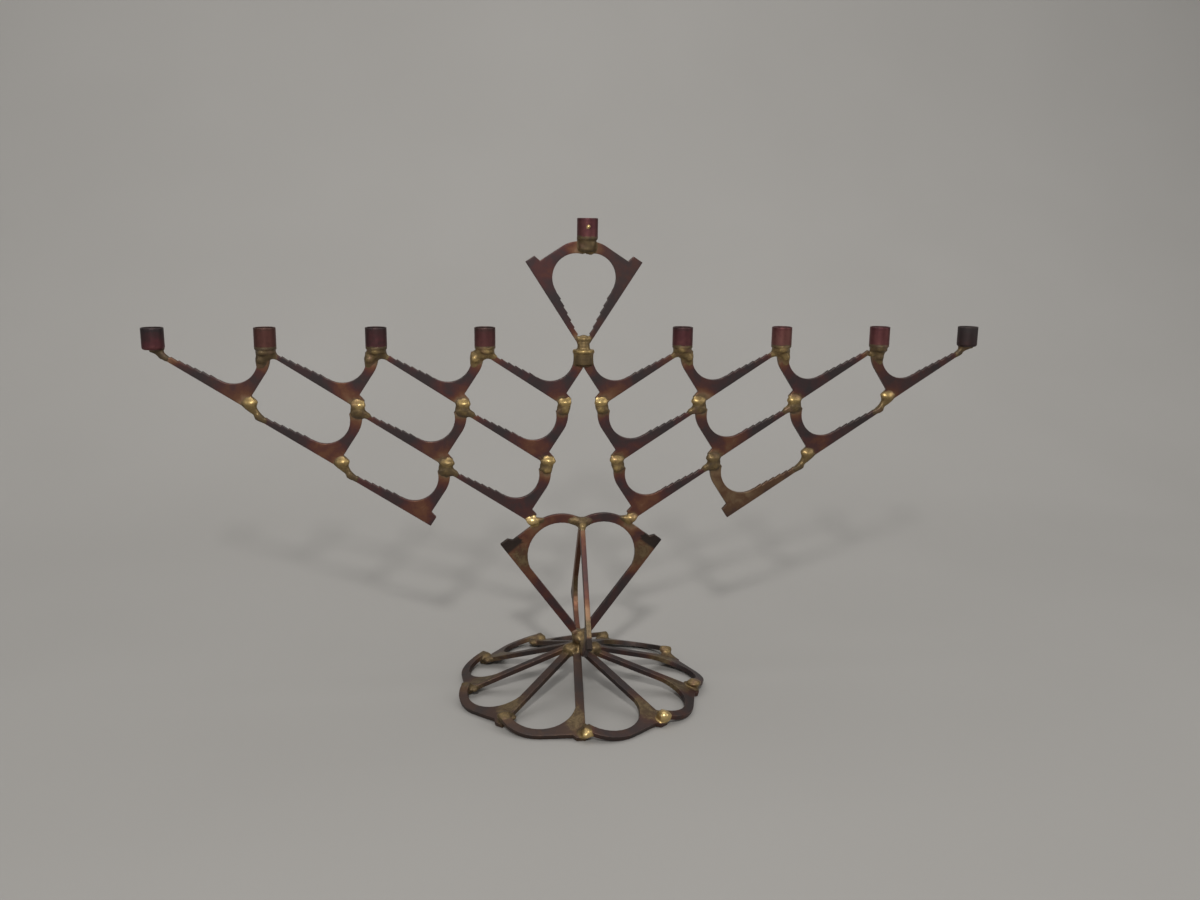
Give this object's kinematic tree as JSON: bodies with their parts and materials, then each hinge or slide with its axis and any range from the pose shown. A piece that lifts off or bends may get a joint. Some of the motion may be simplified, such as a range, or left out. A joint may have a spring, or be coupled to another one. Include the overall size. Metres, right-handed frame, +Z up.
{
  "type": "menorah",
  "caption": "Branched candle holder of flat curved levers brazed into latticed wings, a heart-shaped stem and a scalloped cone base, with small open cups.",
  "frame": {"origin": "on the table, under the axis of the stem", "axes": "+X along the row of cups towards the cups on the viewer's right, +Y to the rear, +Z up"},
  "size_m": [0.4697, 0.1478, 0.274],
  "materials": {
    "blade": "heat-tinted, brown and purple oxide with copper-coloured patches near the joints",
    "cup": "dark red-brown oxidised copper",
    "braze": "raw yellow braze, lumpy and glossy"
  },
  "bodies": {
    "root": {"wing_left_row1_blade1": "blade", "wing_left_row1_blade2": "blade", "wing_left_row1_blade3": "blade", "wing_left_row1_blade4": "blade", "wing_left_row2_blade1": "blade", "wing_left_row2_blade2": "blade", "wing_left_row2_blade3": "blade", "wing_left_row3_blade1": "blade", "wing_left_row3_blade2": "blade", "wing_right_row1_blade1": "blade", "wing_right_row1_blade2": "blade", "wing_right_row1_blade3": "blade", "wing_right_row1_blade4": "blade", "wing_right_row2_blade1": "blade", "wing_right_row2_blade2": "blade", "wing_right_row2_blade3": "blade", "wing_right_row3_blade1": "blade", "wing_right_row3_blade2": "blade", "heart_blade_left": "blade", "heart_blade_right": "blade", "stem_blade_left": "blade", "stem_blade_right": "blade", "stem_blade_front": "blade", "stem_blade_rear": "blade", "base_blade_1": "blade", "base_blade_2": "blade", "base_blade_3": "blade", "base_blade_4": "blade", "base_blade_5": "blade", "base_blade_6": "blade", "base_blade_7": "blade", "base_blade_8": "blade", "base_blade_9": "blade", "cup_left_1": "cup", "cup_left_2": "cup", "cup_left_3": "cup", "cup_left_4": "cup", "cup_right_1": "cup", "cup_right_2": "cup", "cup_right_3": "cup", "cup_right_4": "cup", "cup_shamash": "cup", "braze_cups_left": "braze", "braze_cups_right": "braze", "braze_left_row2": "braze", "braze_left_row3": "braze", "braze_right_row2": "braze", "braze_right_row3": "braze", "braze_wing_to_stem_left": "braze", "braze_wing_to_stem_right": "braze", "braze_collar": "braze", "braze_shamash": "braze", "braze_stem_top": "braze", "braze_hub": "braze", "braze_hub_lobes": "braze", "braze_rim": "braze"}
  },
  "joints": []
}
